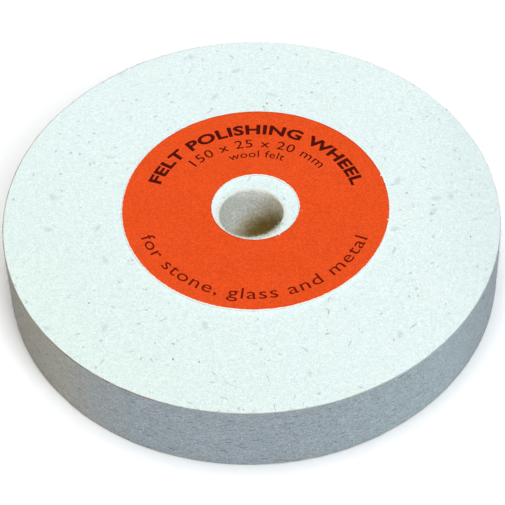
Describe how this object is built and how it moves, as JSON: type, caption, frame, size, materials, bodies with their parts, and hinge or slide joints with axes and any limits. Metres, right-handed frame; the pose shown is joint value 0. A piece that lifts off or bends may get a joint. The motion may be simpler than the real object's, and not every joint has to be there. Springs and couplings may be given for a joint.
{
  "type": "felt polishing wheel",
  "caption": "Thick round felt disc with a plain spindle bore and a die-cut paper ring label on one face, for polishing stone, glass and metal.",
  "frame": {"origin": "centre of the spindle bore at the rear face, the face without the label", "axes": "+Z along the wheel's axis, from the rear face towards the labelled front face; +Y towards the top of the label's lettering"},
  "size_m": [0.15, 0.15, 0.0252],
  "materials": {
    "felt": "matte",
    "adhesive": "satin",
    "label_paper": "matte",
    "label_ink": "matte"
  },
  "bodies": {
    "root": {"felt_wheel": "felt", "label_adhesive": "adhesive", "paper_label": "label_paper"}
  },
  "joints": []
}
